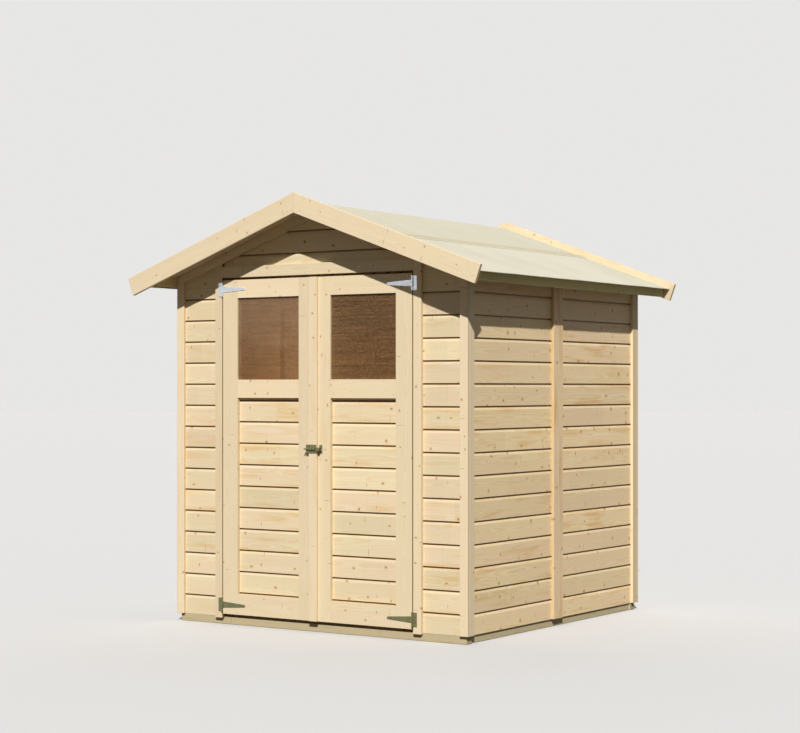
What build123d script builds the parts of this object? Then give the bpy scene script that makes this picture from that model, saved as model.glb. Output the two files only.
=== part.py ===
from build123d import *
import math
import os

# A gable-roofed garden shed of horizontal boards with a pair of half-glazed doors.
# The origin is on the ground at the centre of the walls, +Z is up and the doors face -Y.
# Every length is in millimetres.
os.makedirs("parts", exist_ok=True)

# Walls: boards of one cover width, the first joint just above the base
board_cover = 111.0
board_thickness = 14.0
half_wall = 888.0
first_joint = 138.75
courses_to_door_head = 15
panel_joint_y = -8.4
panel_gap = 4.0

# Base frame and floor
base_height = 40.0
base_end_inset = 1.0
base_side_inset = 8.0
bearer_width = 48.0
joist_pitch = 417.0
floor_thickness = 18.0
floor_front_gap = 6.0

# Corner boards, cover battens and the battens beside the doors
trim_thickness = 16.0
front_side_trim = 46.7
back_side_trim = 46.7
left_front_trim = 31.0
right_front_trim = 29.5
back_trim = 41.0
cover_batten_width = 98.0
jamb_width = 46.0
jamb_thickness = 20.0
jamb_bottom = 34.0
head_batten_height = 58.0

# Inner frame
post_size = 45.0
stud_depth = 28.0
stud_width = 56.0
header_height = 45.0
plate_height = 50.0
gable_stud_top = 2090.0
jamb_stud_top = 1890.0
roof_space_bottom = 1775.0

# Roof: all heights on one slope are counted down from the ridge of the sheet
pitch = 20.0
sheet_ridge = 2165.0
sheet_thickness = 3.0
roof_board_thickness = 16.0
roof_board_end = 1000.0
fascia_thickness = 17.0
left_fascia_bottom = 1763.0
right_fascia_bottom = 1738.0
sheet_overhang = 37.0
roof_front = -1068.0
roof_back = 993.0
lap_edge = 541.0
lap_start = 500.0
lap_ramp = 4.0
barge_thickness = 19.0
barge_width = 96.0
barge_apex = 2203.0
barge_reach = 1086.0
rake_drop = 70.0
purlin_width = 28.0
purlin_bottom = 2098.0
eave_batten_inner = 905.0
eave_batten_bottom = 1765.0

# Doors
opening_half = 594.5
leaf_gap = 5.5
meeting_gap = 6.0
leaf_bottom = 56.0
leaf_top = 1791.0
stile_width = 96.0
top_rail = 94.0
bottom_rail = 106.0
mid_rail_bottom = 1180.0
mid_rail_top = 1274.0
pane_thickness = 3.0
pane_depth = 13.0
pane_lap = 4.0
piece_gap = 0.5
astragal_width = 50.0
astragal_thickness = 16.0
astragal_clearance = 5.0

# T-hinges: a plate on the batten, a tapered strap on the leaf and a pin between
hinge_heights = (104.0, 1743.0)
hinge_metal = 2.5
hinge_pin_y_gap = 5.5
knuckle_radius = 4.5
pin_radius = 2.5
pin_clearance = 0.3
pin_head_radius = 3.6
pin_head_height = 2.0
plate_length = 70.0
plate_width = 25.0
strap_length = 150.0
strap_root = 32.0
strap_tip = 13.0
knuckle_gap = 1.0
plate_relief = 6.0

# Slide latch across the meeting strip
latch_height = 924.0
latch_plate_metal = 2.0
latch_plate_start = -40.0
latch_plate_length = 64.0
latch_plate_height = 44.0
bolt_radius = 4.0
bolt_stand_off = 7.0
bolt_length = 62.0
bolt_start = -42.0
bolt_clearance = 0.5
guide_width = 8.0
guide_starts = (-6.0, 14.0)
guide_metal = 2.0
knob_x = -38.0
knob_length = 13.0
knob_radius = 3.0
keeper_start = 32.0
keeper_width = 18.0
keeper_metal = 2.5
keeper_foot = 13.0

# Worked out from the dimensions above
slope = math.tan(math.radians(pitch))
cosine = math.cos(math.radians(pitch))
inner_wall = half_wall - board_thickness
outer_trim = half_wall + trim_thickness
door_head = first_joint + courses_to_door_head * board_cover
floor_top = base_height + floor_thickness
leaf_front = -half_wall - jamb_thickness
leaf_back = -half_wall + board_thickness
leaf_outer = opening_half - leaf_gap
leaf_inner = meeting_gap / 2
window_inner = leaf_inner + stile_width
window_outer = leaf_outer - stile_width
window_top = leaf_top - top_rail
hinge_x = opening_half - leaf_gap / 2
hinge_y = leaf_front - hinge_pin_y_gap
sheet_drop = sheet_thickness / cosine
board_drop = roof_board_thickness / cosine
roof_length = roof_back - roof_front


def sheet_z(x):
    """Height of the roof sheet's upper face at a distance x from the ridge."""
    return sheet_ridge - slope * abs(x)


def board_top_z(x):
    """Height of the roof boards' upper face."""
    return sheet_z(x) - sheet_drop


def soffit_z(x):
    """Height of the roof boards' underside."""
    return board_top_z(x) - board_drop


def rake_z(x):
    """Height of the lower edge of the sloping battens on the gables."""
    return sheet_z(x) - rake_drop


def facing(y):
    """A plane whose sketch has X across the shed and Y up, drawn at depth y; extrusion runs towards -Y."""
    return Plane(origin=(0, y, 0), x_dir=(1, 0, 0), z_dir=(0, -1, 0))


def save(builder, name):
    """Label a finished piece and write it."""
    builder.part.label = name
    export_step(builder.part, "parts/" + name + ".step")


# Base frame: the front and back bearers over the whole width
base_end = half_wall - base_end_inset
with BuildPart() as cross_bearers:
    with BuildSketch():
        with GridLocations(0, 2 * base_end - bearer_width, 1, 2):
            Rectangle(2 * base_end, bearer_width)
    extrude(amount=base_height)
save(cross_bearers, "cross_bearers")

# Base frame: two bearers from front to back between them
bearer_inner = half_wall - base_side_inset - bearer_width
with BuildPart() as side_bearers:
    with BuildSketch():
        with GridLocations(2 * bearer_inner + bearer_width, 0, 2, 1):
            Rectangle(bearer_width, 2 * (base_end - bearer_width))
    extrude(amount=base_height)
save(side_bearers, "side_bearers")

# Three joists under the floor, the middle one over the origin
with BuildPart() as floor_joists:
    with BuildSketch():
        with GridLocations(0, joist_pitch, 1, 3):
            Rectangle(2 * bearer_inner, bearer_width)
    extrude(amount=base_height)
save(floor_joists, "floor_joists")

# Floor boards inside the walls, clear of the door leaves in front
floor_front = leaf_back + floor_front_gap
with BuildPart() as floor_boards:
    with BuildSketch(Plane.XY.offset(base_height)):
        with Locations((0, (floor_front + inner_wall) / 2)):
            Rectangle(2 * inner_wall, inner_wall - floor_front)
    extrude(amount=floor_thickness)
save(floor_boards, "floor_boards")

# Front wall on both sides of the doorway
for name, side in (("front_wall_left", -1), ("front_wall_right", 1)):
    with BuildPart() as front_wall:
        with BuildSketch(facing(leaf_back)):
            with Locations((side * (opening_half + inner_wall) / 2, (base_height + door_head) / 2)):
                Rectangle(inner_wall - opening_half, door_head - base_height)
        extrude(amount=board_thickness)
    save(front_wall, name)

# Gable over the doors, notched at its peak for the ridge purlin
with BuildPart() as front_gable:
    with BuildSketch(facing(leaf_back)):
        with BuildLine():
            Polyline(
                (-inner_wall, door_head),
                (inner_wall, door_head),
                (inner_wall, soffit_z(inner_wall)),
                (0, soffit_z(0)),
                (-inner_wall, soffit_z(inner_wall)),
                close=True,
            )
        make_face()
        with Locations((0, purlin_bottom)):
            Rectangle(purlin_width, soffit_z(0), align=(Align.CENTER, Align.MIN), mode=Mode.SUBTRACT)
    extrude(amount=board_thickness)
save(front_gable, "front_gable")

# Back wall, one gable-shaped face of boards
with BuildPart() as back_wall:
    with BuildSketch(facing(half_wall)):
        with BuildLine():
            Polyline(
                (-inner_wall, base_height),
                (inner_wall, base_height),
                (inner_wall, soffit_z(inner_wall)),
                (0, soffit_z(0)),
                (-inner_wall, soffit_z(inner_wall)),
                close=True,
            )
        make_face()
        with Locations((0, purlin_bottom)):
            Rectangle(purlin_width, soffit_z(0), align=(Align.CENTER, Align.MIN), mode=Mode.SUBTRACT)
    extrude(amount=board_thickness)
save(back_wall, "back_wall")

# Side walls: two panels each, with their top edges cut to the roof's slope
for name, side in (("left_wall", -1), ("right_wall", 1)):
    with BuildPart() as side_wall:
        for back_edge, panel_length in (
            (panel_joint_y - panel_gap / 2, panel_joint_y - panel_gap / 2 + half_wall),
            (half_wall, half_wall - panel_joint_y - panel_gap / 2),
        ):
            with BuildSketch(facing(back_edge)):
                with BuildLine():
                    Polyline(
                        (side * inner_wall, base_height),
                        (side * half_wall, base_height),
                        (side * half_wall, soffit_z(half_wall)),
                        (side * inner_wall, soffit_z(inner_wall)),
                        close=True,
                    )
                make_face()
            extrude(amount=panel_length)
    save(side_wall, name)

# Corner boards: at each corner a board on the side wall covers the edge of a board on the end wall
for name, end, side_reach, end_reach in (
    ("front_corner_boards", -1, front_side_trim, (left_front_trim, right_front_trim)),
    ("back_corner_boards", 1, back_side_trim, (back_trim, back_trim)),
):
    with BuildPart() as corner_boards:
        for side, reach in ((-1, end_reach[0]), (1, end_reach[1])):
            side_length = trim_thickness + side_reach
            side_back = outer_trim if end > 0 else -outer_trim + side_length
            with BuildSketch(facing(side_back)):
                with BuildLine():
                    Polyline(
                        (side * half_wall, base_height),
                        (side * outer_trim, base_height),
                        (side * outer_trim, soffit_z(outer_trim)),
                        (side * half_wall, soffit_z(half_wall)),
                        close=True,
                    )
                make_face()
            extrude(amount=side_length)
            with BuildSketch(facing(outer_trim if end > 0 else -half_wall)):
                with BuildLine():
                    Polyline(
                        (side * (half_wall - reach), base_height),
                        (side * half_wall, base_height),
                        (side * half_wall, rake_z(half_wall)),
                        (side * (half_wall - reach), rake_z(half_wall - reach)),
                        close=True,
                    )
                make_face()
            extrude(amount=trim_thickness)
    save(corner_boards, name)

# Cover battens over the panel joints of the two side walls and the back wall
with BuildPart() as cover_battens:
    for side in (-1, 1):
        with BuildSketch(facing(panel_joint_y + cover_batten_width / 2)):
            with BuildLine():
                Polyline(
                    (side * half_wall, base_height),
                    (side * outer_trim, base_height),
                    (side * outer_trim, soffit_z(outer_trim)),
                    (side * half_wall, soffit_z(half_wall)),
                    close=True,
                )
            make_face()
        extrude(amount=cover_batten_width)
    half_batten = cover_batten_width / 2
    with BuildSketch(facing(outer_trim)):
        with BuildLine():
            Polyline(
                (-half_batten, base_height),
                (half_batten, base_height),
                (half_batten, rake_z(half_batten)),
                (0, rake_z(0)),
                (-half_batten, rake_z(half_batten)),
                close=True,
            )
        make_face()
    extrude(amount=trim_thickness)
save(cover_battens, "cover_battens")

# Battens around the doorway: one on each side that carries a door, and one over the doors
with BuildPart() as door_jambs:
    for side in (-1, 1):
        with BuildSketch(facing(-half_wall)):
            with BuildLine():
                Polyline(
                    (side * opening_half, jamb_bottom),
                    (side * (opening_half + jamb_width), jamb_bottom),
                    (side * (opening_half + jamb_width), rake_z(opening_half + jamb_width)),
                    (side * opening_half, rake_z(opening_half)),
                    close=True,
                )
            make_face()
        extrude(amount=jamb_thickness)
    with BuildSketch(facing(-half_wall)):
        with Locations((0, door_head + head_batten_height / 2)):
            Rectangle(2 * opening_half - 2 * piece_gap, head_batten_height)
    extrude(amount=jamb_thickness)
save(door_jambs, "door_jambs")

# Posts inside the four corners
post_centre = inner_wall - post_size / 2
with BuildPart() as corner_posts:
    with BuildSketch(Plane.XY.offset(floor_top)):
        with GridLocations(2 * post_centre, 2 * post_centre, 2, 2):
            Rectangle(post_size, post_size)
    extrude(amount=roof_space_bottom + plate_height - floor_top)
save(corner_posts, "corner_posts")

# Studs at the panel joints and beside the doorway
with BuildPart() as wall_studs:
    stud_centre = inner_wall - stud_depth / 2
    jamb_stud_centre = opening_half + post_size / 2
    with BuildSketch(Plane.XY.offset(floor_top)):
        with Locations((-stud_centre, panel_joint_y), (stud_centre, panel_joint_y)):
            Rectangle(stud_depth, stud_width)
    extrude(amount=roof_space_bottom - floor_top)
    with BuildSketch(Plane.XY.offset(floor_top)):
        with Locations((0, stud_centre)):
            Rectangle(stud_width, stud_depth)
    extrude(amount=gable_stud_top - floor_top)
    with BuildSketch(Plane.XY.offset(floor_top)):
        with Locations((-jamb_stud_centre, -post_centre), (jamb_stud_centre, -post_centre)):
            Rectangle(post_size, post_size)
    extrude(amount=jamb_stud_top - floor_top)
save(wall_studs, "wall_studs")

# Header inside the gable, over the doorway
with BuildPart() as door_header:
    with BuildSketch(facing(leaf_back + stud_depth)):
        with Locations((0, door_head + header_height / 2)):
            Rectangle(2 * opening_half, header_height)
    extrude(amount=stud_depth)
save(door_header, "door_header")

# Wall plates along the tops of the side walls, under the roof boards
plate_inner = inner_wall - post_size
with BuildPart() as wall_plates:
    for side in (-1, 1):
        with BuildSketch(facing(plate_inner)):
            with BuildLine():
                Polyline(
                    (side * plate_inner, roof_space_bottom),
                    (side * inner_wall, roof_space_bottom),
                    (side * inner_wall, soffit_z(inner_wall)),
                    (side * plate_inner, soffit_z(plate_inner)),
                    close=True,
                )
            make_face()
        extrude(amount=2 * plate_inner)
save(wall_plates, "wall_plates")

# Ridge purlin, from bargeboard to bargeboard through the notches in the gables
with BuildPart() as ridge_purlin:
    half_purlin = purlin_width / 2
    with BuildSketch(facing(roof_back)):
        with BuildLine():
            Polyline(
                (-half_purlin, purlin_bottom),
                (half_purlin, purlin_bottom),
                (half_purlin, soffit_z(half_purlin)),
                (0, soffit_z(0)),
                (-half_purlin, soffit_z(half_purlin)),
                close=True,
            )
        make_face()
    extrude(amount=roof_length)
save(ridge_purlin, "ridge_purlin")

# Eave battens outside the side walls, which carry the roof out over the front
with BuildPart() as eave_battens:
    eave_outer = eave_batten_inner + purlin_width
    for side in (-1, 1):
        with BuildSketch(facing(roof_back)):
            with BuildLine():
                Polyline(
                    (side * eave_batten_inner, eave_batten_bottom),
                    (side * eave_outer, eave_batten_bottom),
                    (side * eave_outer, soffit_z(eave_outer)),
                    (side * eave_batten_inner, soffit_z(eave_batten_inner)),
                    close=True,
                )
            make_face()
        extrude(amount=roof_length)
save(eave_battens, "eave_battens")

# Sloping battens on the gables, just under the roof boards, and the roof boards themselves
for name, side in (("left", -1), ("right", 1)):
    with BuildPart() as rake_battens:
        for back_face in (-half_wall, outer_trim):
            with BuildSketch(facing(back_face)):
                with BuildLine():
                    Polyline(
                        (side * half_purlin, rake_z(half_purlin)),
                        (side * half_wall, rake_z(half_wall)),
                        (side * half_wall, soffit_z(half_wall)),
                        (side * half_purlin, soffit_z(half_purlin)),
                        close=True,
                    )
                make_face()
            extrude(amount=trim_thickness)
    save(rake_battens, name + "_rake_battens")

    with BuildPart() as roof_boards:
        with BuildSketch(facing(roof_back)):
            with BuildLine():
                Polyline(
                    (0, soffit_z(0)),
                    (side * roof_board_end, soffit_z(roof_board_end)),
                    (side * roof_board_end, board_top_z(roof_board_end)),
                    (0, board_top_z(0)),
                    close=True,
                )
            make_face()
        extrude(amount=roof_length)
    save(roof_boards, name + "_roof_boards")

# Fascia boards along both eaves, fixed to the ends of the roof boards; the right one is deeper
fascia_outer = roof_board_end + fascia_thickness
with BuildPart() as eave_fascias:
    for side, fascia_bottom in ((-1, left_fascia_bottom), (1, right_fascia_bottom)):
        with BuildSketch(facing(roof_back)):
            with BuildLine():
                Polyline(
                    (side * roof_board_end, fascia_bottom),
                    (side * fascia_outer, fascia_bottom),
                    (side * fascia_outer, board_top_z(fascia_outer)),
                    (side * roof_board_end, board_top_z(roof_board_end)),
                    close=True,
                )
            make_face()
        extrude(amount=roof_length)
save(eave_fascias, "eave_fascias")

# Lower strips of roof sheet, which run out past the fascias as a drip edge
sheet_edge = fascia_outer + sheet_overhang
with BuildPart() as lower_roof_sheets:
    for side in (-1, 1):
        with BuildSketch(facing(roof_back)):
            with BuildLine():
                Polyline(
                    (side * lap_start, board_top_z(lap_start)),
                    (side * sheet_edge, board_top_z(sheet_edge)),
                    (side * sheet_edge, sheet_z(sheet_edge)),
                    (side * lap_start, sheet_z(lap_start)),
                    close=True,
                )
            make_face()
        extrude(amount=roof_length)
save(lower_roof_sheets, "lower_roof_sheets")

# Ridge strip of roof sheet, folded over the ridge and lapped over the lower strips
with BuildPart() as ridge_roof_sheet:
    with BuildSketch(facing(roof_back)):
        with BuildLine():
            Polyline(
                (0, board_top_z(0)),
                (lap_start - lap_ramp, board_top_z(lap_start - lap_ramp)),
                (lap_start, sheet_z(lap_start)),
                (lap_edge, sheet_z(lap_edge)),
                (lap_edge, sheet_z(lap_edge) + sheet_drop),
                (lap_start - lap_ramp / 2, sheet_z(lap_start - lap_ramp / 2) + sheet_drop),
                (lap_start - 1.5 * lap_ramp, sheet_z(lap_start - 1.5 * lap_ramp)),
                (0, sheet_z(0)),
                close=True,
            )
        make_face()
        mirror(about=Plane.YZ)
    extrude(amount=roof_length)
save(ridge_roof_sheet, "ridge_roof_sheet")

# Bargeboards: mitred at the ridge and cut square at the eaves
barge_drop = barge_width / cosine
barge_end_x = barge_reach - barge_width * math.sin(math.radians(pitch))
barge_top_z = barge_apex - slope * barge_reach
for name, side in (("left_bargeboards", -1), ("right_bargeboards", 1)):
    with BuildPart() as bargeboards:
        for back_face in (roof_front, roof_back + barge_thickness):
            with BuildSketch(facing(back_face)):
                with BuildLine():
                    Polyline(
                        (0, barge_apex),
                        (side * barge_reach, barge_top_z),
                        (side * barge_end_x, barge_top_z - barge_width * cosine),
                        (0, barge_apex - barge_drop),
                        close=True,
                    )
                make_face()
            extrude(amount=barge_thickness)
    save(bargeboards, name)

# Fixed half of the four T-hinges: a plate on the batten, two knuckles and the pin
half_strap = strap_root / 2
half_plate = plate_length / 2
with BuildPart() as hinge_plates:
    for side in (-1, 1):
        for height in hinge_heights:
            with BuildSketch(facing(leaf_front)):
                with Locations((side * (hinge_x + plate_width / 2), height)):
                    Rectangle(plate_width, plate_length)
                with Locations((side * (hinge_x + plate_relief / 2), height)):
                    Rectangle(plate_relief, strap_root + 2 * knuckle_gap, mode=Mode.SUBTRACT)
            extrude(amount=hinge_metal)
            knuckle_length = half_plate - half_strap - knuckle_gap
            for low in (height - half_plate, height + half_strap + knuckle_gap):
                with BuildSketch(Plane.XY.offset(low)):
                    with Locations((side * hinge_x, hinge_y)):
                        Circle(knuckle_radius)
                extrude(amount=knuckle_length)
            with BuildSketch(Plane.XY.offset(height - half_plate)):
                with Locations((side * hinge_x, hinge_y)):
                    Circle(pin_radius)
            extrude(amount=plate_length)
            for low in (height - half_plate - pin_head_height, height + half_plate):
                with BuildSketch(Plane.XY.offset(low)):
                    with Locations((side * hinge_x, hinge_y)):
                        Circle(pin_head_radius)
                extrude(amount=pin_head_height)
save(hinge_plates, "hinge_plates")

# The two door leaves, mirror images but for the meeting strip and the latch
pane_back = leaf_front + pane_depth
window_height = window_top - mid_rail_top
groove = pane_lap + piece_gap
for name, side in (("left_door", -1), ("right_door", 1)):
    window_centre = (side * (window_inner + window_outer) / 2, (mid_rail_top + window_top) / 2)

    # Stiles: the two uprights of the leaf's front frame, grooved for the pane
    with BuildPart() as stiles:
        with BuildSketch(facing(-half_wall)):
            stile_centre = (leaf_bottom + leaf_top) / 2
            for centre in (leaf_inner + stile_width / 2, leaf_outer - stile_width / 2):
                with Locations((side * centre, stile_centre)):
                    Rectangle(stile_width, leaf_top - leaf_bottom)
        extrude(amount=jamb_thickness)
        with BuildSketch(facing(pane_back)):
            with Locations(window_centre):
                Rectangle(window_outer - window_inner + 2 * groove, window_height + 2 * groove)
        extrude(amount=pane_thickness, mode=Mode.SUBTRACT)
    save(stiles, name + "_stiles")

    # Rails: top, middle and bottom, between the stiles, the upper two grooved for the pane
    with BuildPart() as rails:
        with BuildSketch(facing(-half_wall)):
            for low, high in (
                (leaf_bottom, leaf_bottom + bottom_rail),
                (mid_rail_bottom, mid_rail_top),
                (window_top, leaf_top),
            ):
                with Locations((side * (window_inner + window_outer) / 2, (low + high) / 2)):
                    Rectangle(window_outer - window_inner, high - low)
        extrude(amount=jamb_thickness)
        with BuildSketch(facing(pane_back)):
            with Locations(window_centre):
                Rectangle(window_outer - window_inner, window_height + 2 * groove)
        extrude(amount=pane_thickness, mode=Mode.SUBTRACT)
    save(rails, name + "_rails")

    # Boards behind the frame, up to the window
    with BuildPart() as panel:
        with BuildSketch(facing(leaf_back)):
            with Locations((side * (leaf_inner + leaf_outer) / 2, (leaf_bottom + mid_rail_top) / 2)):
                Rectangle(leaf_outer - leaf_inner, mid_rail_top - leaf_bottom)
        extrude(amount=board_thickness)
    save(panel, name + "_panel")

    # Lining strips behind the frame, beside and over the window
    with BuildPart() as lining:
        with BuildSketch(facing(leaf_back)):
            for centre in (leaf_inner + stile_width / 2, leaf_outer - stile_width / 2):
                with Locations((side * centre, (mid_rail_top + leaf_top) / 2)):
                    Rectangle(stile_width, leaf_top - mid_rail_top)
            with Locations((side * (window_inner + window_outer) / 2, (window_top + leaf_top) / 2)):
                Rectangle(window_outer - window_inner - 2 * piece_gap, leaf_top - window_top)
        extrude(amount=board_thickness)
    save(lining, name + "_lining")

    # Clear pane in the grooves of the frame
    with BuildPart() as pane:
        with BuildSketch(facing(pane_back)):
            with Locations(window_centre):
                Rectangle(window_outer - window_inner + 2 * pane_lap, window_height + 2 * pane_lap)
        extrude(amount=pane_thickness)
    save(pane, name + "_pane")

    # Moving half of the T-hinges: a tapered strap and the middle knuckle
    with BuildPart() as straps:
        for height in hinge_heights:
            tip_x = hinge_x - strap_length + strap_tip / 2
            with BuildSketch(facing(leaf_front)):
                with BuildLine():
                    Polyline(
                        (side * hinge_x, height - half_strap),
                        (side * hinge_x, height + half_strap),
                        (side * tip_x, height + strap_tip / 2),
                        (side * tip_x, height - strap_tip / 2),
                        close=True,
                    )
                make_face()
                with Locations((side * tip_x, height)):
                    Circle(strap_tip / 2)
            extrude(amount=hinge_metal)
            with BuildSketch(Plane.XY.offset(height - half_strap)):
                with Locations((side * hinge_x, hinge_y)):
                    Circle(knuckle_radius)
            extrude(amount=strap_root)
            with BuildSketch(Plane.XY.offset(height - half_strap)):
                with Locations((side * hinge_x, hinge_y)):
                    Circle(pin_radius + pin_clearance)
            extrude(amount=strap_root, mode=Mode.SUBTRACT)
    save(straps, name + "_straps")

# Meeting strip on the left leaf, rebated where it covers the right leaf's edge
half_strip = astragal_width / 2
with BuildPart() as meeting_strip:
    with BuildSketch(Plane.XY.offset(leaf_bottom)):
        with BuildLine():
            Polyline(
                (-half_strip, leaf_front),
                (-leaf_inner, leaf_front),
                (-leaf_inner, leaf_front - astragal_clearance),
                (half_strip, leaf_front - astragal_clearance),
                (half_strip, leaf_front - astragal_thickness),
                (-half_strip, leaf_front - astragal_thickness),
                close=True,
            )
        make_face()
    extrude(amount=leaf_top - leaf_bottom)
save(meeting_strip, "meeting_strip")

# Latch plate on the meeting strip, with two raised guides for the bolt
strip_face = leaf_front - astragal_thickness
plate_face = strip_face - latch_plate_metal
bolt_y = plate_face - bolt_stand_off
bore_radius = bolt_radius + bolt_clearance
with BuildPart() as latch_plate:
    with BuildSketch(facing(strip_face)):
        with Locations((latch_plate_start + latch_plate_length / 2, latch_height)):
            RectangleRounded(latch_plate_length, latch_plate_height, 3)
    extrude(amount=latch_plate_metal)
    for guide_start in guide_starts:
        with BuildSketch(Plane.YZ.offset(guide_start)):
            with Locations((bolt_y, latch_height)):
                Circle(bore_radius + guide_metal)
            with Locations(((bolt_y + plate_face) / 2, latch_height)):
                Rectangle(bolt_stand_off, 2 * (bore_radius + guide_metal))
            with Locations((bolt_y, latch_height)):
                Circle(bore_radius, mode=Mode.SUBTRACT)
        extrude(amount=guide_width)
save(latch_plate, "latch_plate")

# Sliding bolt with a knob at its outer end, shown withdrawn
with BuildPart() as latch_bolt:
    with BuildSketch(Plane.YZ.offset(bolt_start)):
        with Locations((bolt_y, latch_height)):
            Circle(bolt_radius)
    extrude(amount=bolt_length)
    chamfer(latch_bolt.edges().filter_by(GeomType.CIRCLE), 0.8)
    with BuildSketch(facing(bolt_y)):
        with Locations((knob_x, latch_height)):
            Circle(knob_radius)
    extrude(amount=knob_length)
save(latch_bolt, "latch_bolt")

# Keeper on the right leaf: a staple that stands off as far as the meeting strip does
keeper_depth = abs(bolt_y - leaf_front) + bore_radius + keeper_metal
keeper_half = bore_radius + keeper_metal + 1
with BuildPart() as latch_keeper:
    with BuildSketch(Plane.YZ.offset(keeper_start)):
        with BuildLine():
            Polyline(
                (leaf_front, latch_height - keeper_half - keeper_foot),
                (leaf_front, latch_height - keeper_half + keeper_metal),
                (leaf_front - keeper_depth + keeper_metal, latch_height - keeper_half + keeper_metal),
                (leaf_front - keeper_depth + keeper_metal, latch_height + keeper_half - keeper_metal),
                (leaf_front, latch_height + keeper_half - keeper_metal),
                (leaf_front, latch_height + keeper_half + keeper_foot),
                (leaf_front - keeper_metal, latch_height + keeper_half + keeper_foot),
                (leaf_front - keeper_metal, latch_height + keeper_half),
                (leaf_front - keeper_depth, latch_height + keeper_half),
                (leaf_front - keeper_depth, latch_height - keeper_half),
                (leaf_front - keeper_metal, latch_height - keeper_half),
                (leaf_front - keeper_metal, latch_height - keeper_half - keeper_foot),
                close=True,
            )
        make_face()
    extrude(amount=keeper_width)
save(latch_keeper, "latch_keeper")
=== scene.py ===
import logging
import math
import random
from abc import ABC, abstractmethod
from collections import defaultdict
from dataclasses import dataclass
from enum import Enum
from functools import cache
from typing import Any, Callable, Iterable, Sequence

import bmesh
import bpy
from bmesh.types import BMEdge, BMesh, BMFace
from mathutils import Matrix, Vector, noise
from mathutils.bvhtree import BVHTree


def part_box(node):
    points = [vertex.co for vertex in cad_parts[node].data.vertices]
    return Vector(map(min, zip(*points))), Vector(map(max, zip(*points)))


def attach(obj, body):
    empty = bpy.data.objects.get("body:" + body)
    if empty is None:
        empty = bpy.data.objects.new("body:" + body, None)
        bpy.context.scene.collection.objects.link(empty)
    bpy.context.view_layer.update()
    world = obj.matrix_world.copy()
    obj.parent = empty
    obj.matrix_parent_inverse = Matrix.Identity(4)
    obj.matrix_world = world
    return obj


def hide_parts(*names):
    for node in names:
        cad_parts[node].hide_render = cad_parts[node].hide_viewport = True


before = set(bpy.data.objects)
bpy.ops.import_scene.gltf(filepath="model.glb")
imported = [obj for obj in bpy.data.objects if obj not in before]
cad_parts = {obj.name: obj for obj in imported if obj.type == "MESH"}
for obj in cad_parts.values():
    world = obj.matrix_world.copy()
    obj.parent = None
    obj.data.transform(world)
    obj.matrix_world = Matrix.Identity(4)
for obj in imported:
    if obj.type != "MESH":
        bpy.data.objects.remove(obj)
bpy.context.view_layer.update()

# Looks of a boarded garden shed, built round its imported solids.
# Lengths are in metres; the doors face -Y and +Z is up.
logging.basicConfig(level=logging.INFO, format="%(message)s")
log = logging.getLogger("shed")

Colour = tuple[float, float, float]
Span = tuple[float, float]

# How far apart places may be and count as one: for a saw, in a copied mesh, and between planes
TINY = 1e-6
CLOSE = 1e-5
NEAR = 1e-4

# The least cosine between two ways that count as one
SAME_WAY = 0.99

# Angles between faces: below the first they make one flat, above the second their edge is eased
FLAT = math.radians(0.5)
SHARP = 0.3
EASED_FLATS = 2

# Directions that boards run in and faces look in
RIGHT = Vector((1, 0, 0))
LEFT = Vector((-1, 0, 0))
FRONT = Vector((0, -1, 0))
BACK = Vector((0, 1, 0))
UP = Vector((0, 0, 1))
PITCH = math.radians(20)
DOWN_RIGHT = Vector((math.cos(PITCH), 0, -math.sin(PITCH)))
DOWN_LEFT = Vector((-math.cos(PITCH), 0, -math.sin(PITCH)))
ROOF_RIGHT = Vector((math.sin(PITCH), 0, math.cos(PITCH)))
ROOF_LEFT = Vector((-math.sin(PITCH), 0, math.cos(PITCH)))

# Names of the attributes that carry a board's own coordinates, its tone and the kind of its faces
GRAIN = "grain"
TONE = "tone"
CUT_FACE = "cut_face"

# Kinds of face: planed and open, a sawn edge, end grain, and deep in a joint or slit, painted in shade
OPEN_FACE = 0.0
EDGE_FACE = 0.4
END_FACE = 0.6
PAINTED_SHADE_FACE = 1.0


class Slot(Enum):
    """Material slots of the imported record."""

    TREATED = "treated_timber"
    FRAME = "frame_timber"
    WALL = "wall_boards"
    TRIM = "trim_timber"
    SHEET = "roof_sheet"
    STEEL = "galvanised_steel"


def reckoned(operation: str, swapped: bool = False) -> Callable[["Wire", "Wire | float"], "Wire"]:
    """A method that reckons with a wire and another value in one Math node.

    Args:
        operation: the node's operation.
        swapped: whether the other value comes first.

    Returns:
        The method.
    """

    def method(self: "Wire", other: "Wire | float") -> "Wire":
        """Reckon with this value and another."""
        return self.bench.math(operation, *((other, self) if swapped else (self, other)))

    return method


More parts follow.
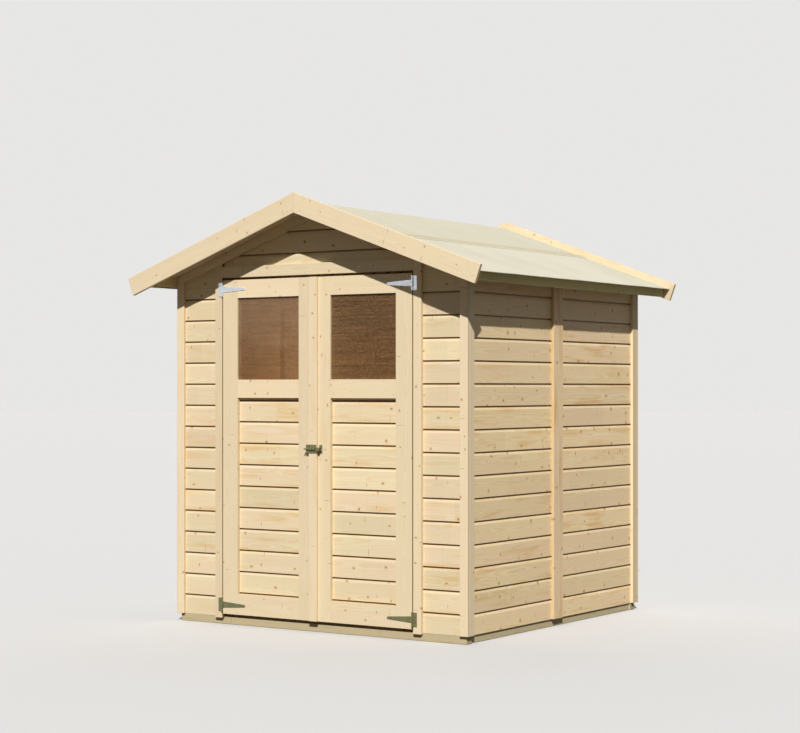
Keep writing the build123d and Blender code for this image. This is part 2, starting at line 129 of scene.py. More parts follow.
class Wire:
    """A value output of a node that can be used in sums."""

    def __init__(self, bench: "Bench", socket: bpy.types.NodeSocket) -> None:
        """Keep the socket and the bench that it belongs to."""
        self.bench = bench
        self.socket = socket

    __add__ = __radd__ = reckoned("ADD")
    __sub__ = reckoned("SUBTRACT")
    __rsub__ = reckoned("SUBTRACT", True)
    __mul__ = __rmul__ = reckoned("MULTIPLY")
    __truediv__ = reckoned("DIVIDE")
    __rtruediv__ = reckoned("DIVIDE", True)
    __pow__ = reckoned("POWER")
    __rpow__ = reckoned("POWER", True)
    most = reckoned("MAXIMUM")

    def fraction(self) -> "Wire":
        """The part after the point."""
        return self.bench.math("FRACT", self)

    def floor(self) -> "Wire":
        """The part before the point."""
        return self.bench.math("FLOOR", self)

    def size(self) -> "Wire":
        """Absolute value."""
        return self.bench.math("ABSOLUTE", self)

    def rise(self, low: float, high: float) -> "Wire":
        """A smooth step from 0 at low to 1 at high.

        Args:
            low: where it starts.
            high: where it ends.

        Returns:
            The step.
        """
        inputs = {"Value": self, "From Min": low, "From Max": high}
        settings = {"interpolation_type": "SMOOTHSTEP"}
        return self.bench.wire("ShaderNodeMapRange", settings, inputs, "Result")

    def fall(self, low: float, high: float) -> "Wire":
        """A smooth step from 1 at low to 0 at high."""
        return 1.0 - self.rise(low, high)

    def spread(self, low: float, high: float) -> "Wire":
        """This value from 0 to 1 laid out between two others."""
        return self * (high - low) + low


class Bench:
    """The node tree of one material or world, with one method that makes any node."""

    def __init__(self, tree: bpy.types.NodeTree) -> None:
        """Empty the tree and keep it."""
        self.tree = tree
        tree.nodes.clear()

    def node(self, kind: str, settings: dict[str, Any], inputs: dict[str | int, Any]) -> bpy.types.Node:
        """Make a node.

        Args:
            kind: the node's type.
            settings: its properties, set first.
            inputs: values or links of its sockets, by name or number.

        Returns:
            The node.
        """
        made = self.tree.nodes.new(kind)
        for name, value in settings.items():
            setattr(made, name, value)
        for name, value in inputs.items():
            socket = made.inputs[name]
            source = value.socket if isinstance(value, Wire) else value
            if isinstance(source, bpy.types.NodeSocket):
                self.tree.links.new(source, socket)
            else:
                socket.default_value = source
        return made

    def wire(
        self, kind: str, settings: dict[str, Any], inputs: dict[str | int, Any], output: str | int
    ) -> Wire:
        """Make a node and take one of its outputs."""
        return Wire(self, self.node(kind, settings, inputs).outputs[output])

    def math(self, operation: str, *values: Wire | float) -> Wire:
        """One Math node on some values."""
        return self.wire("ShaderNodeMath", {"operation": operation}, dict(enumerate(values)), "Value")

    def share(self, name: str) -> Wire:
        """An attribute of one number."""
        return self.wire("ShaderNodeAttribute", {"attribute_name": name}, {}, "Fac")

    def attribute(self, name: str) -> list[Wire]:
        """The three parts of a vector attribute."""
        return self.parts(self.wire("ShaderNodeAttribute", {"attribute_name": name}, {}, "Vector"))

    def parts(self, vector: Wire) -> list[Wire]:
        """The three parts of a vector."""
        split = self.node("ShaderNodeSeparateXYZ", {}, {"Vector": vector})
        return [Wire(self, split.outputs[name]) for name in "XYZ"]

    def vector(self, x: Wire | float, y: Wire | float, z: Wire | float) -> Wire:
        """A vector from three values."""
        return self.wire("ShaderNodeCombineXYZ", {}, {"X": x, "Y": y, "Z": z}, "Vector")

    def place(self) -> Wire:
        """Object coordinates."""
        return self.wire("ShaderNodeTexCoord", {}, {}, "Object")

    def noise(self, vector: Wire, scale: float = 1.0, detail: float = 2.0, rough: float = 0.5) -> Wire:
        """Soft noise from 0 to 1 at a vector."""
        inputs = {"Vector": vector, "Scale": scale, "Detail": detail, "Roughness": rough}
        return self.wire("ShaderNodeTexNoise", {}, inputs, "Fac")

    def mix(self, share: Wire | float, first: Any, second: Any, blend: str = "MIX") -> Wire:
        """Mix two colours.

        Args:
            share: how much of the second colour, from 0 to 1.
            first: a colour or a wire.
            second: a colour or a wire.
            blend: the blend type.

        Returns:
            The mixed colour.
        """
        settings = {"data_type": "RGBA", "blend_type": blend, "clamp_factor": True}
        colours = [value if isinstance(value, Wire) else (*value, 1.0) for value in (first, second)]
        return self.wire("ShaderNodeMix", settings, {0: share, 6: colours[0], 7: colours[1]}, 2)

    def shaded(self, colour: Wire, factor: Wire) -> Wire:
        """A colour made lighter or darker by a factor."""
        return self.mix(1.0, colour, self.vector(factor, factor, factor), "MULTIPLY")

    def seen(self) -> Wire:
        """Whether a ray comes from the camera, by a reflection or through a clear piece.

        Returns:
            1 if it does, and 0 otherwise.
        """
        path = self.node("ShaderNodeLightPath", {}, {})
        names = ("Is Camera Ray", "Is Glossy Ray", "Is Transmission Ray")
        camera, glossy, clear = [Wire(self, path.outputs[name]) for name in names]
        return camera.most(glossy).most(clear)

    def bump(self, height: Wire, strength: float) -> Wire:
        """A normal from a height in metres."""
        inputs = {"Height": height, "Strength": strength, "Distance": 1.0}
        return self.wire("ShaderNodeBump", {}, inputs, "Normal")

    def surface(self, inputs: dict[str | int, Any]) -> None:
        """End the tree in a Principled shader with these inputs."""
        shader = self.node("ShaderNodeBsdfPrincipled", {}, inputs)
        self.node("ShaderNodeOutputMaterial", {}, {"Surface": shader.outputs["BSDF"]})


class Board:
    """A board as its tree sees it: its own coordinates, its tone and the kinds of its faces."""

    def __init__(self, bench: Bench) -> None:
        """Read the board's attributes.

        Args:
            bench: the tree to work in.
        """
        self.bench = bench
        self.u, self.v, self.w = bench.attribute(GRAIN)
        self.hue, self.light, self.warm = bench.attribute(TONE)
        self.kind = bench.share(CUT_FACE)


@dataclass(frozen=True)
class Knots:
    """One kind of knot, scattered one to a cell over a board's face.

    Cells are measured along and across the grain. A knot's half sizes vary from least to most, and the
    share says how many cells have one; the others have theirs far off.
    """

    cell_along: float
    cell_across: float
    along: Span
    across: Span
    share: float
    shift: float
    loose: float = 0.8
    hue_shift: float = 3.0
    far: float = 50.0

    def reach(self, board: Board) -> Wire:
        """Distance from the nearest knot of this kind, 1 at its rim.

        Args:
            board: the board, whose hue shifts its knots.

        Returns:
            The distance, large where the cell has no knot.
        """
        bench = board.bench
        along = (board.u + self.shift) / self.cell_along
        across = (board.v + board.hue * self.hue_shift + self.shift) / self.cell_across
        cells = bench.node(
            "ShaderNodeTexVoronoi",
            {"voronoi_dimensions": "2D", "feature": "F1"},
            {"Vector": bench.vector(along, across, 0.0), "Scale": 1.0, "Randomness": self.loose},
        )
        centre = bench.parts(Wire(bench, cells.outputs["Position"]))
        chance = bench.parts(Wire(bench, cells.outputs["Color"]))
        off_along = (along - centre[0]) * self.cell_along / chance[0].spread(*self.along)
        off_across = (across - centre[1]) * self.cell_across / chance[1].spread(*self.across)
        distance = (off_along * off_along + off_across * off_across) ** 0.5
        missing = chance[2].rise(self.share, self.share + 0.001)
        return distance + missing * self.far


ROUND_KNOTS = Knots(0.17, 0.09, (0.003, 0.0078), (0.0032, 0.008), 0.52, 11.3)
SPIKE_KNOTS = Knots(0.26, 0.1, (0.001, 0.0021), (0.006, 0.019), 0.5, 23.7)
PIN_KNOTS = Knots(0.075, 0.055, (0.001, 0.0024), (0.001, 0.0026), 0.55, 5.1)
SMALL_KNOTS = Knots(0.12, 0.058, (0.0022, 0.0058), (0.0022, 0.0052), 0.32, 17.9)


@dataclass(frozen=True)
class Figure:
    """A noise drawn out along the grain: how often it changes in a metre along and across the board."""

    along: float
    across: float
    shift: float = 0.0
    detail: float = 2.0
    rough: float = 0.5

    def on(self, board: Board) -> Wire:
        """The noise on a board.

        Args:
            board: the board.

        Returns:
            The noise, from 0 to 1.
        """
        along = board.u * self.along + self.shift
        place = board.bench.vector(along, board.v * self.across, board.w * self.across)
        return board.bench.noise(place, 1.0, self.detail, self.rough)


FIBRE = Figure(9.0, 620.0, detail=3.0, rough=0.6)
STREAK = Figure(1.6, 42.0)
CLOUD = Figure(2.3, 11.0, 3.0)
FLAME = Figure(3.1, 24.0, 7.0, 3.0, 0.6)
SAW_TEETH = Figure(260.0, 7.0)
CRACKS = Figure(5.0, 190.0, rough=0.6)
RING_BEND = Figure(0.9, 1.5, detail=1.0, rough=0.4)
RING_LIFT = Figure(1.7, 3.0, 40.0)


@dataclass(frozen=True)
class Finish(ABC):
    """A finish, named as its material is."""

    name: str

    @cache
    def material(self) -> bpy.types.Material:
        """The finish as a node material, made once.

        Returns:
            The material.
        """
        made = bpy.data.materials.new(self.name)
        made.use_nodes = True
        self.paint(Bench(made.node_tree))
        return made

    @abstractmethod
    def paint(self, bench: Bench) -> None:
        """Fill the material's tree."""


@dataclass(frozen=True)
class Timber(Finish):
    """A softwood finish: growth rings round a pith below the face, knots, tones and fibre.

    Shares say how far a colour covers the one below it, and shades are the darkest and lightest factor
    that a pattern puts on the wood. Fades are where a knot's colour gives way, with 1 at the knot's rim.
    Heights are relief in metres. Faces deep in joints and slits are painted in shade.
    """

    yellow: Colour
    pink: Colour
    late: Colour
    heart: Colour
    knot: Colour
    edge: Colour = (0.50, 0.36, 0.17)
    # painted shade, laid on faces deep in joints and slits
    deep: Colour = (0.21, 0.105, 0.022)
    main_knots: Knots = ROUND_KNOTS
    ring: float = 0.0034
    late_share: float = 0.2
    heart_share: float = 0.6
    edge_share: float = 0.45
    painted_shade_share: float = 0.94
    halo_share: float = 0.5
    knot_share: float = 0.62
    rim_share: float = 0.2
    core_fade: Span = (0.6, 1.15)
    halo_fade: Span = (0.9, 3.0)
    rim_rise: Span = (0.62, 0.95)
    rim_fade: Span = (0.95, 1.15)
    spike_fade: Span = (0.4, 1.35)
    pin_fade: Span = (0.4, 1.3)
    board_shade: Span = (0.915, 1.055)
    fibre_shade: Span = (0.955, 1.035)
    streak_shade: Span = (0.955, 1.04)
    stave_shade: Span = (0.965, 1.02)
    saw_shade: Span = (0.93, 1.06)
    ring_height: float = -0.00012
    fibre_height: float = 0.00011
    knot_height: float = 0.0002
    crack_height: float = -0.0006
    knot_push: float = 0.0065
    ring_wander: float = 0.03
    ring_uneven: float = 2.4
    stave: float = 0.0
    saw: float = 0.0
    cracks: float = 0.0
    gloss: Span = (0.5, 0.66)

    def paint(self, bench: Bench) -> None:
        """Paint the wood, knots, saw marks and cracks, and the faces' kinds, painting shade deep in
        joints.

        Args:
            bench: the tree to work in.
        """
        board = Board(bench)
        fibre = FIBRE.on(board)
        knots = [kind.reach(board) for kind in (self.main_knots, SPIKE_KNOTS, PIN_KNOTS)]
        core = knots[0].fall(*self.core_fade)
        rings = self.rings(board, knots[0])
        colour = self.knotted(bench, self.clear_wood(board, rings, fibre), knots, core)
        height = rings * self.ring_height + fibre * self.fibre_height + core * self.knot_height
        if self.saw:
            teeth = SAW_TEETH.on(board)
            height = height + teeth * self.saw
            colour = bench.shaded(colour, teeth.spread(*self.saw_shade))
        if self.cracks:
            line = CRACKS.on(board).rise(0.64, 0.72) * self.cracks
            colour = bench.mix(line, colour, self.knot)
            height = height + line * self.crack_height
        colour = bench.mix(board.kind.rise(OPEN_FACE, EDGE_FACE) * self.edge_share, colour, self.edge)
        # painted shade on faces deep in joints and slits; end grain takes a little of the same colour
        colour = bench.mix(board.kind.rise(EDGE_FACE, PAINTED_SHADE_FACE) * self.painted_shade_share, colour, self.deep)
        bench.surface({
            "Base Color": colour,
            "Roughness": (fibre * 0.5 + rings * 0.5).spread(self.gloss[1], self.gloss[0]),
            "Normal": bench.bump(height, 0.8),
            "Specular IOR Level": 0.32,
        })

    def clear_wood(self, board: Board, rings: Wire, fibre: Wire) -> Wire:
        """Colour of the wood between the knots.

        Args:
            board: the board.
            rings: late wood of its rings.
            fibre: its fibre.

        Returns:
            The colour.
        """
        bench = board.bench
        streak = STREAK.on(board)
        pinkness = (board.hue * 0.45 + CLOUD.on(board) * 1.1 - 0.28).rise(0.15, 0.85)
        colour = bench.mix(pinkness, self.yellow, self.pink)
        flames = FLAME.on(board).rise(0.46, 0.72) * board.warm.rise(0.15, 0.9)
        colour = bench.mix(flames * self.heart_share, colour, self.heart)
        colour = bench.mix(rings * (streak.spread(0.3, 1.7) * self.late_share), colour, self.late)
        shade = board.light.spread(*self.board_shade) * fibre.spread(*self.fibre_shade)
        shade = shade * streak.spread(*self.streak_shade)
        return bench.shaded(colour, shade * self.staves(board) if self.stave else shade)

    def knotted(self, bench: Bench, colour: Wire, knots: Sequence[Wire], core: Wire) -> Wire:
        """Colour of the wood with its knots, each large one in a warm halo.

        Args:
            bench: the tree to work in.
            colour: the clear wood.
            knots: distances from the large knots, the spikes and the pins.
            core: the bodies of the large knots.

        Returns:
            The colour.
        """
        large, spikes, pins = knots
        colour = bench.mix(large.fall(*self.halo_fade) * self.halo_share, colour, self.heart)
        rim = large.rise(*self.rim_rise) * large.fall(*self.rim_fade)
        dark = core * self.knot_share + rim * self.rim_share
        for small in (spikes.fall(*self.spike_fade), pins.fall(*self.pin_fade)):
            dark = dark.most(small * self.knot_share)
        return bench.mix(dark, colour, self.knot)

    def staves(self, board: Board) -> Wire:
        """Shade of the staves that a board is glued up from, with a fine line where two meet.

        Args:
            board: the board, whose hue shifts its staves.

        Returns:
            A factor near 1.
        """
        place = board.u / self.stave + board.hue * 7.0
        seed = board.bench.vector(place.floor(), board.hue * 40.0, 0.0)
        settings = {"noise_dimensions": "2D"}
        draw = board.bench.wire("ShaderNodeTexWhiteNoise", settings, {"Vector": seed}, "Value")
        line = (place.fraction() - 0.5).size().rise(0.4965, 0.4995)
        return draw.spread(*self.stave_shade) * (1.0 - line * 0.1)

    def rings(self, board: Board, knots: Wire) -> Wire:
        """Late wood of the growth rings, which knots push outwards.

        Args:
            board: the board, measured from its pith.
            knots: distance from the large knots.

        Returns:
            A share from 0 to 1 that rises through each ring and drops at its end.
        """
        across = board.v + (RING_BEND.on(board) - 0.5) * self.ring_wander
        depth = board.w + (RING_LIFT.on(board) - 0.5) * self.ring_wander
        push = (knots / 4.0).fall(0.1, 1.0) * self.knot_push
        radius = (across * across + depth * depth) ** 0.5 + push
        place = board.bench.vector(radius * 70.0, board.u * 0.6, 0.0)
        uneven = board.bench.noise(place, 1.0, 2.0, 0.6)
        phase = (radius / self.ring + uneven * self.ring_uneven).fraction()
        return phase.rise(0.25, 0.93) * phase.fall(0.93, 1.0)


@dataclass(frozen=True)
class Sheet(Finish):
    """Mineral roofing sheet, pale and matt, with the boards below showing faintly through it.

    It turns ochre in a band just above the lap.
    """

    pale: Colour
    deep: Colour
    ochre: Colour
    cover: float = 0.111
    first_joint: float = -1.068
    lap: float = 0.524
    lap_reach: float = 0.1
    cloud_share: float = 0.55
    joint_share: float = 0.28
    upper_share: float = 0.45
    lap_band_share: Span = (0.5, 0.9)
    grit_scale: float = 900.0
    grit_shade: Span = (0.9, 1.1)
    gloss: Span = (0.72, 0.9)
    joint_height: float = 0.0012
    grit_height: float = 0.0003
    cloud_height: float = 0.002

    def paint(self, bench: Bench) -> None:
        """Paint the sheet.

        Args:
            bench: the tree to work in.
        """
        place = bench.place()
        x, y, z = bench.parts(place)
        cloud = bench.noise(bench.vector(x * 2.2, y * 3.4, z), 1.0, 3.0, 0.55)
        grit = bench.noise(place, self.grit_scale, 2.0, 0.6)
        broken = bench.noise(bench.vector(x * 4.0, y * 9.0, 3.0), 1.0, 1.0, 0.5).rise(0.3, 0.7)
        board = ((y - self.first_joint) / self.cover).fraction()
        ridges = (board - 0.5).size().rise(0.44, 0.5) * broken
        above = x.size().fall(self.lap, self.lap + 0.003)
        band = x.size().rise(self.lap - self.lap_reach, self.lap) * above
        colour = bench.mix(cloud.rise(0.3, 0.72) * self.cloud_share, self.pale, self.deep)
        colour = bench.mix(ridges * self.joint_share, colour, self.deep)
        colour = bench.mix(above * self.upper_share, colour, self.deep)
        colour = bench.mix(band * broken.spread(*self.lap_band_share), colour, self.ochre)
        height = ridges * self.joint_height + grit * self.grit_height + cloud * self.cloud_height
        bench.surface({
            "Base Color": bench.shaded(colour, grit.spread(*self.grit_shade)),
            "Roughness": grit.spread(*self.gloss),
            "Normal": bench.bump(height, 0.7),
            "Specular IOR Level": 0.25,
        })


@dataclass(frozen=True)
class Zinc(Finish):
    """Zinc on steel, with its spangle: bright high on the doors, and dull olive lower down, a painted
    grass reflection.
    """

    light: Colour
    dull: Colour
    # colours of the lower metal: a painted reflection of green grass
    olive: Colour = (0.21, 0.205, 0.095)
    olive_dull: Colour = (0.12, 0.125, 0.055)
    change: Span = (1.1, 1.4)
    metal: Span = (0.25, 0.85)
    gloss: Span = (0.26, 0.46)
    spangle_scale: float = 210.0
    stain_scale: float = 38.0

    def paint(self, bench: Bench) -> None:
        """Paint the zinc.

        Args:
            bench: the tree to work in.
        """
        place = bench.place()
        inputs = {"Vector": place, "Scale": self.spangle_scale}
        cells = bench.wire("ShaderNodeTexVoronoi", {"feature": "F1"}, inputs, "Color")
        spangle = bench.parts(cells)[0]
        stain = bench.noise(place, self.stain_scale, 3.0, 0.6)
        share = (spangle * 0.55 + stain * 0.6).rise(0.3, 0.95)
        high = bench.parts(place)[2].rise(*self.change)
        bright = bench.mix(share, self.light, self.dull)
        dark = bench.mix(share, self.olive, self.olive_dull)
        bench.surface({
            "Base Color": bench.mix(high, dark, bright),
            "Metallic": high.spread(*self.metal),
            "Roughness": (spangle * 0.6 + stain * 0.4).spread(*self.gloss),
            "Normal": bench.bump(spangle * 0.00004 + stain * 0.0001, 0.5),
        })


@dataclass(frozen=True)
class Pane(Finish):
    """Thin plastic pane whose brown film paints the dim room behind it; browner lower down, streaked,
    speckled.
    """

    upper: Colour
    lower: Colour
    body: float
    streak_spread: float
    change: Span = (1.33, 1.62)
    patch_shade: Span = (0.85, 1.15)
    gloss: Span = (0.05, 0.16)
    wave_height: float = 0.004

    def paint(self, bench: Bench) -> None:
        """Paint the film on the pane, a painted view of the shaded room behind it.

        Args:
            bench: the tree to work in.
        """
        place = bench.place()
        x, y, z = bench.parts(place)
        wave = bench.noise(place, 4.0, 1.0, 0.4)
        streak = bench.noise(bench.vector(x * 2.5, y, z * 95.0), 1.0, 3.0, 0.6)
        speck = bench.noise(bench.vector(x * 75.0, y, z * 95.0), 1.0, 2.0, 0.6)
        patch = bench.noise(bench.vector(x * 11.0, y, z * 16.0), 1.0, 2.0, 0.5)
        film = bench.mix((z + patch * 0.12 - 0.06).rise(*self.change), self.lower, self.upper)
        streak_range = (1.0 - self.streak_spread, 1.0 + self.streak_spread)
        shade = streak.rise(0.3, 0.7).spread(*streak_range) * speck.rise(0.35, 0.65).spread(*streak_range)
        bench.surface({
            "Base Color": bench.shaded(film, shade * patch.spread(*self.patch_shade)),
            "Roughness": patch.spread(*self.gloss),
            "Alpha": (streak * 0.5 + speck * 0.5).spread(self.body * 0.7, self.body * 1.3),
            "Normal": bench.bump(wave * self.wave_height, 0.35),
            "Specular IOR Level": 0.3,
        })


@dataclass(frozen=True)
class Ground(Finish):
    """Plain floor: pale where it is seen, and dark for the light that it would throw on the shed."""

    pale: Colour
    dark: Colour

    def paint(self, bench: Bench) -> None:
        """Paint the floor."""
        colour = bench.mix(bench.seen(), self.dark, self.pale)
        bench.surface({"Base Color": colour, "Roughness": 0.9, "Specular IOR Level": 0.1})


SPRUCE = Timber(
    "planed_spruce", (0.835, 0.715, 0.475), (0.835, 0.675, 0.48),
    (0.73, 0.48, 0.22), (0.77, 0.50, 0.22), (0.20, 0.10, 0.045),
    late_share=0.29, heart_share=0.78, stave=0.43,
)
# a more golden copy of the spruce for the sides, back and cover battens, painting warmer light on them
GOLDEN_SPRUCE = Timber(
    "golden_spruce", (0.915, 0.735, 0.45), (0.915, 0.70, 0.465),
    (0.70, 0.44, 0.175), (0.76, 0.46, 0.17), (0.20, 0.10, 0.045),
    late_share=0.29, heart_share=0.85, stave=0.43,
)
TRIM_SPRUCE = Timber(
    "planed_trim", (0.845, 0.715, 0.485), (0.84, 0.69, 0.49),
    (0.74, 0.49, 0.24), (0.77, 0.47, 0.20), (0.22, 0.11, 0.05),
    main_knots=SMALL_KNOTS, late_share=0.24, heart_share=0.32,
)
# its khaki tint paints the green light that grass throws into the shade under the eaves
KHAKI_TRIM = Timber(
    "khaki_fascia", (0.70, 0.60, 0.24), (0.68, 0.57, 0.24),
    (0.50, 0.40, 0.17), (0.52, 0.40, 0.16), (0.20, 0.12, 0.05),
    main_knots=SMALL_KNOTS, late_share=0.24, heart_share=0.4,
)
SAWN_SPRUCE = Timber(
    "sawn_frame", (0.72, 0.55, 0.32), (0.71, 0.52, 0.33),
    (0.58, 0.36, 0.17), (0.60, 0.35, 0.15), (0.18, 0.09, 0.04),
    late_share=0.3, saw=0.00025, gloss=(0.62, 0.8),
)
TREATED = Timber(
    "treated_bearer", (0.66, 0.62, 0.42), (0.68, 0.60, 0.42),
    (0.44, 0.40, 0.22), (0.52, 0.44, 0.25), (0.17, 0.13, 0.07),
    ring=0.0042, late_share=0.3, heart_share=0.35, saw=0.0004, cracks=0.6, gloss=(0.7, 0.88),
)
ROOFING = Sheet("mineral_sheet", (0.64, 0.61, 0.505), (0.55, 0.515, 0.40), (0.45, 0.385, 0.23))
STRAP_ZINC = Zinc("strap_zinc", (0.80, 0.84, 0.90), (0.60, 0.65, 0.71))
NAIL_ZINC = Zinc(
    "nail_zinc", (0.62, 0.60, 0.55), (0.44, 0.42, 0.38),
    (0.62, 0.60, 0.55), (0.44, 0.42, 0.38), gloss=(0.35, 0.55),
)
# films that paint the shaded room seen through each pane; the right one is darker
PANES = {
    "left_door": Pane("left_plastic", (0.38, 0.222, 0.12), (0.30, 0.148, 0.054), 0.42, 0.09),
    "right_door": Pane("right_plastic", (0.215, 0.115, 0.046), (0.24, 0.12, 0.042), 0.48, 0.24),
}


def placed(
    name: str, data: bpy.types.ID, where: Sequence[float] = (0.0, 0.0, 0.0),
    turn: Sequence[float] = (0.0, 0.0, 0.0),
) -> bpy.types.Object:
    """Put a mesh, a light or a camera in the scene.

    Args:
        name: the object's name.
        data: what it shows.
        where: its place.
        turn: its turn about each axis, in degrees.

    Returns:
        The object.
    """
    made = bpy.data.objects.new(name, data)
    made.location = where
    made.rotation_euler = [math.radians(angle) for angle in turn]
    bpy.context.scene.collection.objects.link(made)
    return made


def solid_object(name: str, mesh: BMesh, finish: Finish) -> bpy.types.Object:
    """Turn a finished bmesh into an object of one material.

    Args:
        name: the object's name.
        mesh: its mesh, which is used up.
        finish: its finish.

    Returns:
        The object.
    """
    data = bpy.data.meshes.new(name)
    mesh.to_mesh(data)
    mesh.free()
    data.materials.append(finish.material())
    return placed(name, data)


@dataclass(frozen=True)
class Piece:
    """A piece of the shed: its body, its slot in the record, its finish and the nodes it stands for."""

    name: str
    body: str
    slot: Slot
    finish: Finish
    nodes: tuple[str, ...] = ()

    def make(self, mesh: BMesh) -> None:
        """Turn a finished bmesh into the piece.

        Args:
            mesh: its mesh, which is used up.
        """
        made = solid_object(self.name, mesh, self.finish)
        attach(made, self.body)
        if self.nodes:
            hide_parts(*self.nodes)
        log.info("%s: %d faces", self.name, len(made.data.polygons))


@dataclass(frozen=True)
class Cut:
    """A saw cut through a point: what lies on the side it looks to falls away."""

    point: Vector
    away: Vector


def between(way: Vector, low: float, high: float) -> list[Cut]:
    """The two cuts that leave what lies between two levels of a direction."""
    return [Cut(way * low, -way), Cut(way * high, way)]


@dataclass(frozen=True)
class Lay:
    """How a board lies: the way its grain runs and the way its good face looks."""

    along: Vector
    face: Vector

    def across(self) -> Vector:
        """The direction of its width, in which boards follow each other."""
        return self.face.cross(self.along)

    def turned(self) -> Matrix:
        """Rows that measure a point along, across and through the board."""
        return Matrix((self.along, self.across(), self.face))

    def fit(self, part: BMesh) -> float:
        """How well a board fits in this lay.

        Args:
            part: the board's mesh.

        Returns:
            Its length less its thickness.
        """
        start, stop = reach(part, self.along)
        back, front = reach(part, self.face)
        return (stop - start) - (front - back)


# Lays that several sub-assemblies use, named for the way their boards run
UPRIGHT = Lay(UP, FRONT)
LEVEL = Lay(RIGHT, FRONT)
TO_BACK = Lay(BACK, RIGHT)


@dataclass(frozen=True)
class Lining:
    """Matched boards: their cover, the open joint with its tongue, and how their long edges are cut.

    The upper edge is planed back in a long slope, given by its height and depth; the lower is bevelled.
    No board is narrower than the least course.
    """

    cover: float = 0.111
    gap: float = 0.0043
    slope: Span = (0.0115, 0.0034)
    lower_bevel: float = 0.0042
    tongue: Span = (0.003, 0.0075)
    tongue_reach: float = 0.004
    least_course: float = 0.02

    def courses(self, first: float, count: int) -> list[float]:
        """Joints of level courses, from the first one up."""
        return [first + self.cover * index for index in range(count)]

    def steps(self, slab: BMesh, lay: Lay, axis: Vector, first: float) -> list[float]:
        """Joints at even steps from one side of a slab.

        Args:
            slab: the slab.
            lay: how its boards lie.
            axis: the direction in which the steps are counted.
            first: how much of the first board's cover is there.

        Returns:
            The joints, measured the way the boards follow each other.
        """
        low, high = reach(slab, axis)
        way = lay.across().dot(axis)
        count = int((high - low) / self.cover)
        return sorted((low + self.cover * (index + first)) * way for index in range(count + 1))

    def planed(self, lay: Lay, top: float, outside: float) -> Cut:
        """The slanted cut of a board's upper edge.

        Args:
            lay: how the board lies.
            top: where it ends, measured across.
            outside: where its face is.

        Returns:
            The cut.
        """
        across = lay.across()
        height, depth = self.slope
        start = across * (top - height) + lay.face * outside
        return Cut(start, (across * depth + lay.face * height).normalized())

    def strip(self, lay: Lay, top: float, inside: float) -> list[Cut]:
        """The cuts that leave the tongue in the joint above a board.

        Args:
            lay: how the board lies.
            top: where it ends, measured across.
            inside: where its back is.

        Returns:
            The cuts.
        """
        near, far = self.tongue
        joint = between(lay.across(), top - self.tongue_reach, top + self.gap + self.tongue_reach)
        return joint + between(lay.face, inside + near, inside + far)


MATCHED = Lining()
FLOORING = Lining(gap=0.0012, slope=(0.001, 0.001), lower_bevel=0.001, tongue=(0.006, 0.011))


@dataclass(frozen=True)
class Faces:
    """Tells the faces of a board apart.

    Faces on a slit's plane lie deep in it, as do a jointed board's long edges; all are painted in shade.
    """

    lay: Lay
    slits: Sequence[Cut] = ()
    joint: bool = False
    joint_below: float = -0.5
    joint_above: float = 0.9
    square: float = 0.7

    def kind(self, face: BMFace) -> float:
        """What kind of face one is.

        Args:
            face: the face.

        Returns:
            Its kind.
        """
        across = face.normal.dot(self.lay.across())
        if any(self.lies_in(face, slit) for slit in self.slits):
            return PAINTED_SHADE_FACE
        if self.joint and not self.joint_below <= across <= self.joint_above:
            return PAINTED_SHADE_FACE
        if abs(face.normal.dot(self.lay.along)) > self.square:
            return END_FACE
        return EDGE_FACE if abs(across) > self.square else OPEN_FACE

    def lies_in(self, face: BMFace, slit: Cut) -> bool:
        """Whether a face lies on a slit's plane and looks its way."""
        off = (face.verts[0].co - slit.point).dot(slit.away)
        return face.normal.dot(slit.away) > SAME_WAY and abs(off) < NEAR


@dataclass(frozen=True)
class Growth:
    """How a board grew: its hue, lightness and warmth, and where its grain is measured from."""

    tone: Vector
    pith: Vector


